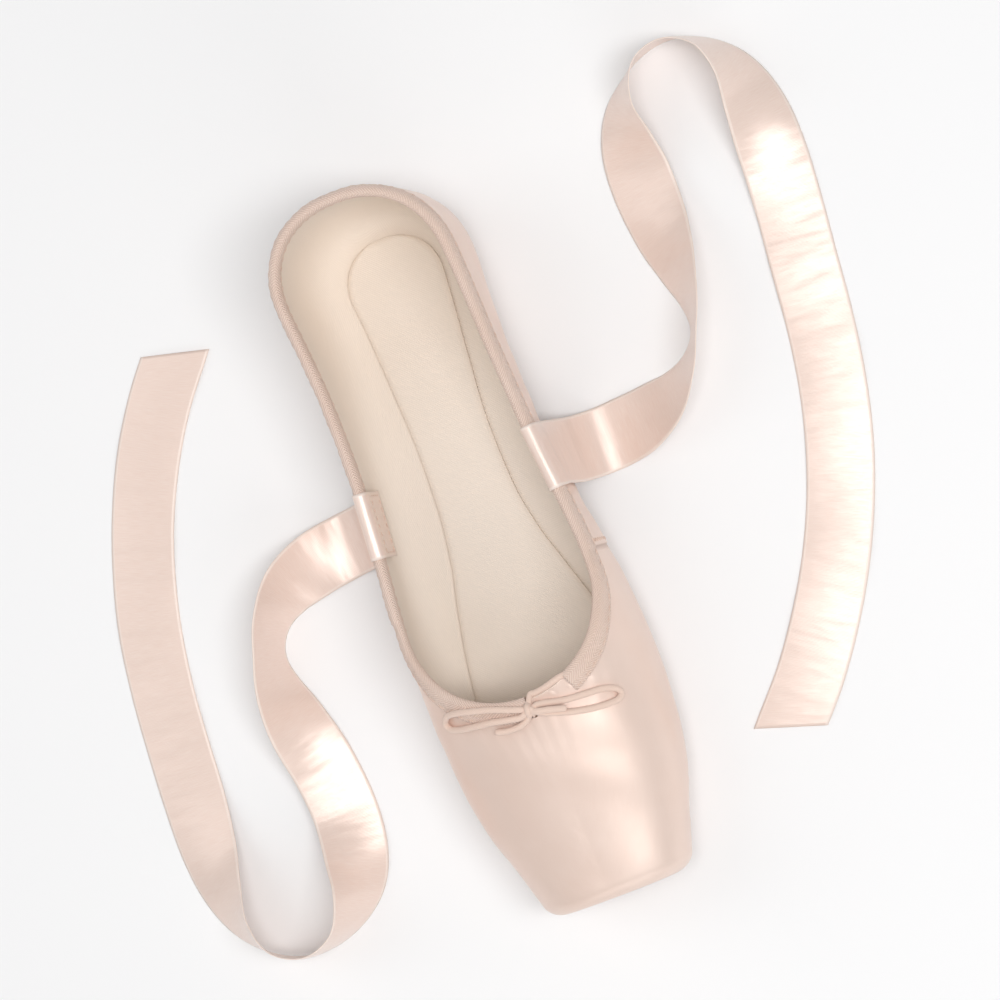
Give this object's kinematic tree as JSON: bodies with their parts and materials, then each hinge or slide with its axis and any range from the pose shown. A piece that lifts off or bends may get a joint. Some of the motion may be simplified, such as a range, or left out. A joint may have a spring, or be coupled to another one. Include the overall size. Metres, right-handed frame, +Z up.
{
  "type": "pointe shoe",
  "caption": "Ballet pointe shoe: stiff satin toe box with a flat platform, low quarters, folded collar casing with a drawstring bow, ankle ribbons and a short leather sole.",
  "frame": {"origin": "centre of the shoe's own box at floor level, without its ribbons and drawstring", "axes": "+Y from the toe to the heel, +Z up, +X across the shoe"},
  "size_m": [0.282, 0.2508, 0.0583],
  "materials": {
    "satin": "pale peach satin, smooth and lustrous",
    "casing_twill": "herringbone twill tape, matt",
    "sole_leather": "thin tan split leather, matt",
    "lining": "cotton drill lining, matt",
    "ribbon_satin": "satin ribbon with woven selvedges",
    "drawstring": "round braided cotton cord, matt"
  },
  "bodies": {
    "root": {"upper": "satin", "outsole": "sole_leather", "insole": "lining", "collar_casing": "casing_twill", "drawstring_lead": "drawstring", "bow_knot": "drawstring", "bow_loop_left": "drawstring", "bow_loop_right": "drawstring", "bow_end_left": "drawstring", "bow_end_right": "drawstring", "ribbon_right": "ribbon_satin", "ribbon_left": "ribbon_satin"}
  },
  "joints": []
}
